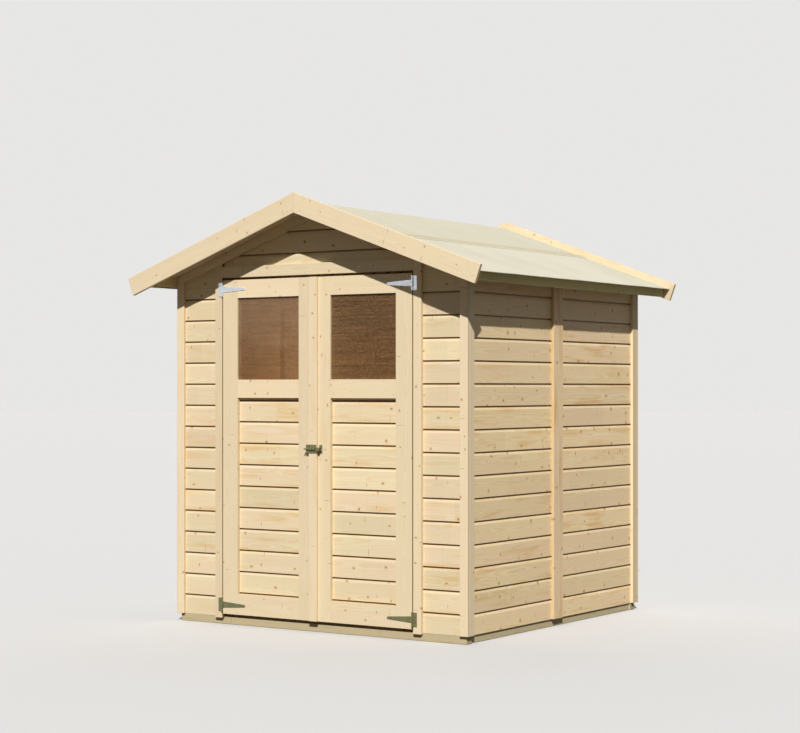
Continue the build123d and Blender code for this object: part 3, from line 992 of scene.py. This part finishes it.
class Timberwork:
    """Boards of one piece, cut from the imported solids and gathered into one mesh."""

    pith_along = (-60.0, -3.0)
    pith_across = (-0.045, 0.045)
    pith_below = (0.018, 0.085)

    def __init__(self, piece: Piece) -> None:
        """Start the piece.

        Args:
            piece: the piece, whose name seeds the draws of its boards' growth.
        """
        self.piece = piece
        self.mesh = bmesh.new()
        self.mesh.verts.layers.float_vector.new(GRAIN)
        self.mesh.verts.layers.float_vector.new(TONE)
        self.mesh.faces.layers.float.new(CUT_FACE)
        self.draw = random.Random(piece.name)
        self.count = 0

    def grow(self, part: BMesh, lay: Lay) -> Growth:
        """Draw how a board grew, with its pith below its face, to one side and far along.

        Args:
            part: the board's mesh.
            lay: how it lies.

        Returns:
            Its growth.
        """
        tone = Vector((self.draw.random(), self.draw.random(), self.draw.random()))
        middle = lay.turned() @ (sum((vert.co for vert in part.verts), Vector()) / len(part.verts))
        along = self.draw.uniform(*self.pith_along)
        across = self.draw.uniform(*self.pith_across)
        below = self.draw.uniform(*self.pith_below)
        return Growth(tone, middle + Vector((along, across, -below)))

    def add(self, part: BMesh, lay: Lay, growth: Growth, kind: Callable[[BMFace], float]) -> None:
        """Write a board's own coordinates and tone, and add it to the piece.

        Args:
            part: the board's mesh, which is used up.
            lay: how it lies.
            growth: how it grew.
            kind: what kind of face each face is.
        """
        part.normal_update()
        layer = part.faces.layers.float.new(CUT_FACE)
        for face in part.faces:
            face[layer] = kind(face)
        grain = part.verts.layers.float_vector.new(GRAIN)
        tint = part.verts.layers.float_vector.new(TONE)
        turned = lay.turned()
        for vert in part.verts:
            vert[grain] = turned @ vert.co - growth.pith
            vert[tint] = growth.tone
        pour(part, self.mesh)
        self.count += 1

    def line(
        self, slab: BMesh, lay: Lay, joints: Sequence[float], lining: Lining = MATCHED,
        splits: Sequence[float] = (),
    ) -> None:
        """Cut a packed slab into matched boards, one above the other.

        Args:
            slab: the slab.
            lay: how the boards lie; they follow each other across it.
            joints: where the joints are, measured across.
            lining: the boards' section.
            splits: where boards end and others go on, measured along.
        """
        across = lay.across()
        low, high = reach(slab, across)
        inside, outside = reach(slab, lay.face)
        start, stop = reach(slab, lay.along)
        least = lining.least_course
        courses = [low, *[joint for joint in joints if low + least < joint < high - least], high]
        lengths = [start, *splits, stop]
        for lower, upper in zip(courses, courses[1:]):
            bottom = lower + (lining.gap / 2 if lower > low else 0.0)
            top = upper - (lining.gap / 2 if upper < high else 0.0)
            for first, last in zip(lengths, lengths[1:]):
                ends = between(lay.along, first, last)
                board = sawn(slab, between(across, bottom, top) + ends)
                if board is None:
                    continue
                growth = self.grow(board, lay)
                if upper < high:
                    planed = sawn(board, [lining.planed(lay, top, outside)])
                    board.free()
                    board = planed
                if lower > low:
                    bevel(board, edges_at(board, lay, bottom, outside), lining.lower_bevel)
                self.add(board, lay, growth, Faces(lay, joint=True).kind)
                tongue = sawn(slab, lining.strip(lay, top, inside) + ends) if upper < high else None
                if tongue is not None:
                    # the tongue, deep in the joint, is painted in shade all over
                    self.add(tongue, lay, growth, lambda face: PAINTED_SHADE_FACE)

    def make(self) -> None:
        """Make the piece of the boards gathered."""
        log.info("%s: %d boards", self.piece.name, self.count)
        self.piece.make(self.mesh)


def dress(node: str, finish: Finish) -> None:
    """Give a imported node, which stays as it is, a finish.

    Args:
        node: the node's name.
        finish: its finish.
    """
    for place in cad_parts[node].material_slots:
        place.material = finish.material()
    log.info("%s: finished as packed", node)


def solids(node: str) -> list[BMesh]:
    """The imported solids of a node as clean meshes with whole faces.

    Args:
        node: the node's name.

    Returns:
        One mesh for each solid, in a fixed order.
    """
    whole = bmesh.new()
    whole.from_mesh(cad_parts[node].data)
    for layers in (whole.verts.layers.float_vector, whole.loops.layers.uv):
        for layer in list(layers.values()):
            layers.remove(layer)
    bmesh.ops.remove_doubles(whole, verts=whole.verts[:], dist=CLOSE)
    whole.faces.ensure_lookup_table()
    unseen = set(range(len(whole.faces)))
    found = []
    while unseen:
        island = set()
        waiting = [whole.faces[min(unseen)]]
        while waiting:
            face = waiting.pop()
            if face.index not in island:
                island.add(face.index)
                waiting.extend(near for rim in face.edges for near in rim.link_faces)
        unseen -= island
        solid = whole.copy()
        solid.faces.ensure_lookup_table()
        others = [face for face in solid.faces if face.index not in island]
        bmesh.ops.delete(solid, geom=others, context="FACES")
        bmesh.ops.dissolve_limit(solid, angle_limit=FLAT, verts=solid.verts[:], edges=solid.edges[:])
        found.append(solid)
    whole.free()
    return found


def pour(part: BMesh, whole: BMesh) -> None:
    """Add a mesh to another one.

    Args:
        part: the mesh that is added and used up.
        whole: the mesh that takes it.
    """
    scratch = bpy.data.meshes.new("scratch")
    part.to_mesh(scratch)
    part.free()
    whole.from_mesh(scratch)
    bpy.data.meshes.remove(scratch)


def reach(part: BMesh, way: Vector) -> Span:
    """Least and most of a mesh along a direction."""
    places = [vert.co.dot(way) for vert in part.verts]
    return min(places), max(places)


def bisect(part: BMesh, point: Vector, way: Vector, clear: bool) -> None:
    """Cut a mesh through with a plane.

    Args:
        part: the mesh.
        point: a point of the plane.
        way: the way the plane looks.
        clear: whether what lies on that side falls away.
    """
    whole = part.verts[:] + part.edges[:] + part.faces[:]
    bmesh.ops.bisect_plane(
        part, geom=whole, dist=TINY, plane_co=point, plane_no=way, clear_outer=clear
    )


def sawn(solid: BMesh, cuts: Iterable[Cut]) -> BMesh | None:
    """A copy of a solid after some saw cuts.

    Args:
        solid: the solid, which is left as it is.
        cuts: the cuts.

    Returns:
        The closed rest, or none if nothing is left.
    """
    part = solid.copy()
    for cut in cuts:
        low, high = reach(part, cut.away)
        level = cut.point.dot(cut.away)
        if high <= level + CLOSE:
            continue
        if low >= level - CLOSE:
            part.free()
            return None
        bisect(part, cut.point, cut.away, True)
        rim = [edge for edge in part.edges if edge.is_boundary]
        if rim:
            bmesh.ops.edgeloop_fill(part, edges=rim)
    bmesh.ops.recalc_face_normals(part, faces=part.faces[:])
    return part


def parted(solid: BMesh, splits: Sequence[Cut]) -> list[BMesh]:
    """Part a solid that is made of more than one board.

    Args:
        solid: the solid.
        splits: the cuts that part it, where they pass through it.

    Returns:
        Its boards.
    """
    parts = [solid]
    for split in splits:
        level = split.point.dot(split.away)
        halves = []
        for part in parts:
            low, high = reach(part, split.away)
            if low + NEAR < level < high - NEAR:
                halves += [sawn(part, [split]), sawn(part, [Cut(split.point, -split.away)])]
            else:
                halves.append(part)
        parts = halves
    return parts


def bevel(part: BMesh, edges: Sequence[BMEdge], radius: float, flats: int = 1) -> None:
    """Take the sharpness off some edges of a mesh.

    Args:
        part: the mesh.
        edges: the edges.
        radius: how far the bevel reaches.
        flats: how many flats it has.
    """
    if edges:
        bmesh.ops.bevel(
            part, geom=list(edges), offset=radius, offset_type="OFFSET", segments=flats,
            profile=0.5, affect="EDGES", material=-1, clamp_overlap=True,
        )


def edges_at(part: BMesh, lay: Lay, level: float, outside: float) -> list[BMEdge]:
    """Edges along one side of a board's face.

    Args:
        part: the board's mesh.
        lay: how it lies.
        level: where that side is, measured across.
        outside: where the face is.

    Returns:
        The edges.
    """
    planes = ((lay.across(), level), (lay.face, outside))
    return [
        edge for edge in part.edges
        if all(abs(vert.co.dot(way) - place) < CLOSE for vert in edge.verts for way, place in planes)
    ]


@dataclass(frozen=True)
class Head:
    """Head of a nail or a screw: its radius, how far it stands proud and how steep its side is."""

    name: str
    radius: float
    rise: float
    taper: float
    finish: Finish
    sides: int = 8

    def strike(self, heads: BMesh, place: Vector, way: Vector) -> None:
        """Add one head, sunk as deep as it stands proud.

        Args:
            heads: the mesh that it goes into.
            place: the point of the surface under it.
            way: the way it looks.
        """
        seat = Matrix.Translation(place) @ way.to_track_quat("Z", "Y").to_matrix().to_4x4()
        bmesh.ops.create_cone(
            heads, cap_ends=True, segments=self.sides, radius1=self.radius,
            radius2=self.radius * self.taper, depth=self.rise * 2, matrix=seat,
        )


NAIL = Head("nails", 0.0027, 0.0004, 0.9, NAIL_ZINC)
SCREW = Head("screws", 0.0034, 0.0009, 0.6, STRAP_ZINC)


@dataclass(frozen=True)
class Rows:
    """Heads in rows along a board, with the rows given as shares of its width.

    The pitch is the greatest distance from one head to the next, and the margin how far the first and
    last ones are from the ends.
    """

    head: Head
    pitch: float
    margin: float
    shares: Sequence[float] = (0.5,)


NARROW_NAILS = Rows(NAIL, 0.34, 0.05)
BROAD_NAILS = Rows(NAIL, 0.34, 0.05, (0.2, 0.8))
BARGE_NAILS = Rows(NAIL, 0.3, 0.07, (0.22, 0.78))
STRAP_SCREWS = Rows(SCREW, 0.034, 0.016)
PLATE_SCREWS = Rows(SCREW, 0.03, 0.012, (0.62,))


class Fixings:
    """Heads of nails and screws, gathered by the body that they ride on.

    Each is sought from a little above the board's highest face, down to the deepest step.
    """

    above = 0.05
    deepest = 0.012

    def __init__(self) -> None:
        """Start with none."""
        self.heads: defaultdict[tuple[str, Head], BMesh] = defaultdict(bmesh.new)

    def fix(self, body: str, part: BMesh, lay: Lay, rows: Rows) -> None:
        """Set rows of heads along a board or a plate, each one seated on its face.

        Args:
            body: the body that the board belongs to.
            part: the board's mesh.
            lay: how it lies.
            rows: the rows.
        """
        across = lay.across()
        start, stop = reach(part, lay.along)
        left, right = reach(part, across)
        top = lay.face * (reach(part, lay.face)[1] + self.above)
        tree = BVHTree.FromBMesh(part)
        length = stop - start - 2 * rows.margin
        steps = max(1, math.ceil(length / rows.pitch))
        for step in range(steps + 1):
            place = start + rows.margin + length * step / steps
            for share in rows.shares:
                over = lay.along * place + across * (left + (right - left) * share) + top
                spot, normal, *_ = tree.ray_cast(over, -lay.face, self.above + self.deepest)
                if spot is not None and normal.dot(lay.face) >= SAME_WAY:
                    rows.head.strike(self.heads[body, rows.head], spot, lay.face)

    def build(self) -> None:
        """Make one piece of each body's heads of a kind."""
        for (body, head), heads in self.heads.items():
            Piece(f"{body}_{head.name}", body, Slot.STEEL, head.finish).make(heads)


def timber_piece(
    node: str, body: str, slot: Slot, finish: Finish, lays: Sequence[Lay], easing: float,
    splits: Sequence[Cut] = (), slits: Sequence[Cut] = (),
    nails: Callable[[BMesh, Lay], None] | None = None,
) -> None:
    """Replace a node of plain timbers by eased and grained ones.

    Args:
        node: the node's name, which the piece keeps with "_timber" added.
        body: the body it rides on.
        slot: the record's material slot.
        finish: its finish.
        lays: how its timbers may lie; each takes the one that fits it best.
        easing: how far its edges are eased.
        splits: cuts that part a solid made of two boards.
        slits: planes whose faces lie deep in a slit, where they are painted in shade.
        nails: what nails a board, once it is cut.
    """
    work = Timberwork(Piece(node + "_timber", body, slot, finish, (node,)))
    for solid in solids(node):
        for part in parted(solid, splits):
            lay = max(lays, key=lambda choice: choice.fit(part))
            if nails:
                nails(part, lay)
            sharp = [edge for edge in part.edges if edge.calc_face_angle(0.0) > SHARP]
            bevel(part, sharp, easing, EASED_FLATS)
            work.add(part, lay, work.grow(part, lay), Faces(lay, slits).kind)
    work.make()


@dataclass
class Base:
    """Treated bearers and joists on the ground, and on them the floor, whose first board is a half."""

    easing: float = 0.003
    first_board: float = 0.5

    def build(self) -> None:
        """Build the base frame and the floor."""
        for node, along in (("side_bearers", BACK), ("cross_bearers", RIGHT), ("floor_joists", RIGHT)):
            timber_piece(node, "shed", Slot.TREATED, TREATED, [Lay(along, UP)], self.easing)
        node = "floor_boards"
        work = Timberwork(Piece(node + "_laid", "shed", Slot.FRAME, SAWN_SPRUCE, (node,)))
        lay = Lay(FRONT, UP)
        for slab in solids(node):
            work.line(slab, lay, FLOORING.steps(slab, lay, RIGHT, self.first_board), FLOORING)
        work.make()


@dataclass
class Walls:
    """Boarded walls of matched spruce with level joints; the sides and the back are more golden, painted
    warmer light.
    """

    first_joint: float = 0.13875
    courses: int = 19
    back_split: float = 0.0

    def build(self) -> None:
        """Build the six boarded faces."""
        joints = MATCHED.courses(self.first_joint, self.courses)
        for node, lay, splits, finish in (
            ("front_wall_left", LEVEL, (), SPRUCE),
            ("front_wall_right", LEVEL, (), SPRUCE),
            ("front_gable", LEVEL, (), SPRUCE),
            ("back_wall", Lay(LEFT, BACK), (self.back_split,), GOLDEN_SPRUCE),
            ("left_wall", Lay(FRONT, LEFT), (), GOLDEN_SPRUCE),
            ("right_wall", TO_BACK, (), GOLDEN_SPRUCE),
        ):
            work = Timberwork(Piece(node + "_lined", "shed", Slot.WALL, finish, (node,)))
            for slab in solids(node):
                work.line(slab, lay, joints, splits=splits)
            work.make()


@dataclass
class Trims:
    """Corner boards, cover battens, door battens and the sloping battens on the gables."""

    fixings: Fixings
    wall_face: float = 0.888
    opening_half: float = 0.5945
    broad: float = 0.08
    board_easing: float = 0.0018
    jamb_easing: float = 0.0012
    rake_easing: float = 0.0022

    def nail(self, part: BMesh, lay: Lay) -> None:
        """Nail a board, in one row or in two where it is broad.

        Args:
            part: the board's mesh.
            lay: how it lies.
        """
        left, right = reach(part, lay.across())
        self.fixings.fix("shed", part, lay, BROAD_NAILS if right - left > self.broad else NARROW_NAILS)

    def build(self) -> None:
        """Build the trims."""
        upright = [Lay(UP, face) for face in (FRONT, BACK, LEFT, RIGHT)]
        corners = [Cut(way * self.wall_face, way) for way in (FRONT, BACK)]
        # the jambs' inner faces on these planes line the doors' slits and get painted shade
        slits = [Cut(RIGHT * side * self.opening_half, RIGHT * -side) for side in (-1, 1)]
        for node, finish, lays, easing, splits, deep in (
            ("front_corner_boards", TRIM_SPRUCE, upright, self.board_easing, corners, ()),
            ("back_corner_boards", TRIM_SPRUCE, upright, self.board_easing, corners, ()),
            ("cover_battens", GOLDEN_SPRUCE, upright, self.board_easing, (), ()),
            ("door_jambs", TRIM_SPRUCE, [*upright, LEVEL], self.jamb_easing, (), slits),
            ("left_rake_battens", TRIM_SPRUCE, [Lay(DOWN_LEFT, FRONT)], self.rake_easing, (), ()),
            ("right_rake_battens", TRIM_SPRUCE, [Lay(DOWN_RIGHT, FRONT)], self.rake_easing, (), ()),
        ):
            timber_piece(node, "shed", Slot.TRIM, finish, lays, easing, splits, deep, self.nail)


@dataclass
class InnerFrame:
    """Sawn posts, studs, header, plates and purlins that carry the walls and the roof."""

    easing: float = 0.002

    def build(self) -> None:
        """Build the frame."""
        upright = [UPRIGHT, Lay(UP, RIGHT)]
        for node, lays in (
            ("corner_posts", upright),
            ("wall_studs", upright),
            ("door_header", [LEVEL]),
            ("wall_plates", [TO_BACK]),
            ("ridge_purlin", [TO_BACK]),
            ("eave_battens", [TO_BACK]),
        ):
            timber_piece(node, "shed", Slot.FRAME, SAWN_SPRUCE, lays, self.easing)


@dataclass
class Roof:
    """Roof boards, fascias, bargeboards and the sheets laid over them.

    A sheet's waves are each given by how often they change in a metre to the side and back, and by where
    in the noise they are taken.
    """

    fixings: Fixings
    fascia_easing: float = 0.0012
    barge_easing: float = 0.002
    shaving: float = 0.0006
    sheet_cells: float = 0.05
    ripple: float = 0.0022
    slow_wave: tuple[float, ...] = (3.1, 4.3, 0.5)
    quick_wave: tuple[float, ...] = (7.0, 13.0, 4.5)

    def build(self) -> None:
        """Build the roof from the boards up."""
        for side, along, face in (("left", DOWN_LEFT, -ROOF_LEFT), ("right", DOWN_RIGHT, -ROOF_RIGHT)):
            node = side + "_roof_boards"
            work = Timberwork(Piece(node + "_lined", "shed", Slot.FRAME, SPRUCE, (node,)))
            lay = Lay(along, face)
            for slab in solids(node):
                work.line(slab, lay, MATCHED.steps(slab, lay, BACK, 1.0))
            work.make()
        timber_piece("eave_fascias", "shed", Slot.FRAME, KHAKI_TRIM, [TO_BACK], self.fascia_easing)
        for node, along in (("left_bargeboards", DOWN_LEFT), ("right_bargeboards", DOWN_RIGHT)):
            lays = [Lay(along, FRONT)]
            timber_piece(node, "shed", Slot.TRIM, TRIM_SPRUCE, lays, self.barge_easing, nails=self.nail)
        for node in ("lower_roof_sheets", "ridge_roof_sheet"):
            self.lay_sheet(node)

    def nail(self, part: BMesh, lay: Lay) -> None:
        """Nail a bargeboard from outside, after a shaving off the face that the heads stand on.

        Args:
            part: the board's mesh.
            lay: how it lies, looking to the front on either gable.
        """
        outward = lay.face * math.copysign(1.0, part.verts[:][0].co.dot(lay.face))
        outer = reach(part, outward)[1]
        for vert in part.verts:
            if vert.co.dot(outward) > outer - CLOSE:
                vert.co -= outward * self.shaving
        self.fixings.fix("shed", part, Lay(lay.along, outward), BARGE_NAILS)

    def lay_sheet(self, node: str) -> None:
        """Lay one node of roofing sheet, a little wavy as it lies on the boards.

        Args:
            node: the node's name.
        """
        laid = bmesh.new()
        for solid in solids(node):
            self.divide(solid, BACK)
            self.divide(solid, RIGHT)
            for vert in solid.verts:
                vert.co.z += self.wave(vert.co)
            pour(solid, laid)
        bmesh.ops.recalc_face_normals(laid, faces=laid.faces[:])
        Piece(node + "_laid", "shed", Slot.SHEET, ROOFING, (node,)).make(laid)

    def divide(self, solid: BMesh, way: Vector) -> None:
        """Cut a mesh across at even steps, so that it can bend.

        Args:
            solid: the mesh.
            way: the direction that the steps follow.
        """
        low, high = reach(solid, way)
        steps = int((high - low) / self.sheet_cells)
        for index in range(1, steps):
            bisect(solid, way * (low + (high - low) * index / steps), way, False)

    def wave(self, place: Vector) -> float:
        """How far the sheet lifts off the boards.

        Args:
            place: where it lies.

        Returns:
            The lift in metres.
        """
        slow, quick = [
            noise.noise(Vector((place.x * aside, place.y * back, level)))
            for aside, back, level in (self.slow_wave, self.quick_wave)
        ]
        return self.ripple * max(0.0, 0.5 + 0.6 * slow + 0.35 * quick)


@dataclass
class DoorLeaf:
    """One door leaf: a frame of stiles and rails, boards below, a pane above."""

    fixings: Fixings
    body: str
    first_joint: float = 0.166
    courses: int = 10
    easing: float = 0.001
    lining_easing: float = 0.0008

    def build(self) -> None:
        """Build the leaf."""
        low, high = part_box(self.body + "_stiles")
        # the stiles' outermost side faces line the slits and get painted shade
        slits = [Cut(Vector(low), LEFT), Cut(Vector(high), RIGHT)]
        for part, slot, lays, easing, deep in (
            ("_stiles", Slot.TRIM, [UPRIGHT], self.easing, slits),
            ("_rails", Slot.TRIM, [LEVEL], self.easing, ()),
            ("_lining", Slot.FRAME, [UPRIGHT, LEVEL], self.lining_easing, ()),
        ):
            timber_piece(self.body + part, self.body, slot, TRIM_SPRUCE, lays, easing, slits=deep)
        node = self.body + "_panel"
        work = Timberwork(Piece(node + "_lined", self.body, Slot.WALL, SPRUCE, (node,)))
        for slab in solids(node):
            work.line(slab, LEVEL, MATCHED.courses(self.first_joint, self.courses))
        work.make()
        dress(self.body + "_pane", PANES[self.body])
        dress(self.body + "_straps", STRAP_ZINC)
        for solid in solids(self.body + "_straps"):
            self.fixings.fix(self.body, solid, LEVEL, STRAP_SCREWS)


@dataclass
class Fastenings:
    """Meeting strip, hinge plates, latch, and the heads of the nails and screws."""

    fixings: Fixings
    strip_easing: float = 0.002

    def build(self) -> None:
        """Dress the metal and make the heads."""
        timber_piece("meeting_strip", "left_door", Slot.TRIM, TRIM_SPRUCE, [UPRIGHT], self.strip_easing)
        for node in ("hinge_plates", "latch_plate", "latch_bolt", "latch_keeper"):
            dress(node, STRAP_ZINC)
        for solid in solids("hinge_plates"):
            self.fixings.fix("shed", solid, UPRIGHT, PLATE_SCREWS)
        self.fixings.build()


@dataclass(frozen=True)
class Lamp:
    """A far lamp: its turn to the right of the front, height in the sky and width, in degrees."""

    name: str
    turn: float
    height: float
    strength: float
    width: float
    colour: Colour

    def hang(self) -> None:
        """Put the lamp in the scene."""
        data = bpy.data.lights.new(self.name, "SUN")
        data.energy = self.strength
        data.angle = math.radians(self.width)
        data.color = self.colour
        placed(self.name, data, turn=(90.0 - self.height, 0.0, self.turn))


@dataclass
class Studio:
    """Pale floor, plain daylight and the camera.

    The focal length, the picture's width and height and the horizon's height in it are in pixels.
    """

    camera_place: tuple[float, ...] = (5.697, -8.697, 1.233)
    camera_turn: float = 33.62
    focal: float = 1913.55
    frame_width: float = 800.0
    frame_height: float = 733.0
    horizon: float = 387.62
    sensor: float = 36.0
    sight: float = 300.0
    floor_radius: float = 90.0
    floor_sides: int = 96
    sky: Colour = (0.115, 0.108, 0.094)
    backdrop: Colour = (0.8, 0.795, 0.785)
    room_power: float = 0.5
    room_colour: Colour = (1.0, 0.7, 0.5)
    room_place: tuple[float, ...] = (0.78, 0.15, 1.3)
    room_size: float = 0.3
    room_spread: float = 40.0
    ground: Ground = Ground("pale_floor", (0.68, 0.683, 0.702), (0.05, 0.05, 0.045))
    lamps: tuple[Lamp, ...] = (
        Lamp("key", 31.5, 38.0, 4.15, 0.8, (1.0, 0.985, 0.95)),
        Lamp("front_fill", -35.0, 22.0, 0.05, 100.0, (1.0, 0.97, 0.9)),
        Lamp("back_fill", 205.0, 28.0, 1.3, 100.0, (1.0, 0.985, 0.95)),
    )

    def build(self) -> None:
        """Set the stage."""
        self.floor()
        self.world()
        for lamp in self.lamps:
            lamp.hang()
        self.room_lamp()
        self.camera()

    def floor(self) -> None:
        """Make the pale floor, a wide disc."""
        disc = bmesh.new()
        bmesh.ops.create_circle(disc, cap_ends=True, segments=self.floor_sides, radius=self.floor_radius)
        solid_object("floor", disc, self.ground)

    def world(self) -> None:
        """Make the sky: an even pale fill, and a pale backdrop where it is seen."""
        sky = bpy.data.worlds.new("sky")
        bpy.context.scene.world = sky
        sky.use_nodes = True
        bench = Bench(sky.node_tree)
        colour = bench.mix(bench.seen(), self.sky, self.backdrop)
        shade = bench.node("ShaderNodeBackground", {}, {"Color": colour, "Strength": 1.0})
        bench.node("ShaderNodeOutputWorld", {}, {"Surface": shade.outputs["Background"]})

    def room_lamp(self) -> None:
        """Put a weak warm lamp in the room for the light that its boards pass on to the left wall."""
        data = bpy.data.lights.new("room", "AREA")
        data.energy = self.room_power
        data.color = self.room_colour
        data.size = self.room_size
        data.spread = math.radians(self.room_spread)
        made = placed("room", data, self.room_place, (0.0, 90.0, 0.0))
        made.visible_camera = False
        made.visible_glossy = False

    def camera(self) -> None:
        """Stand the camera where the photograph was taken."""
        lens = bpy.data.cameras.new("camera")
        lens.sensor_width = self.sensor
        lens.lens = self.focal * self.sensor / self.frame_width
        lens.shift_y = (self.horizon - self.frame_height / 2) / self.frame_width
        lens.clip_end = self.sight
        turn = (90.0, 0.0, self.camera_turn)
        bpy.context.scene.camera = placed("camera", lens, self.camera_place, turn)


def main() -> None:
    """Build the shed piece by piece, then the stage."""
    bpy.context.scene.view_settings.view_transform = "Standard"
    fixings = Fixings()
    for assembly in (
        Base(),
        Walls(),
        Trims(fixings),
        InnerFrame(),
        Roof(fixings),
        DoorLeaf(fixings, "left_door"),
        DoorLeaf(fixings, "right_door"),
        Fastenings(fixings),
        Studio(),
    ):
        assembly.build()
        log.info("%s done", type(assembly).__name__)


if __name__ == "__main__":
    main()
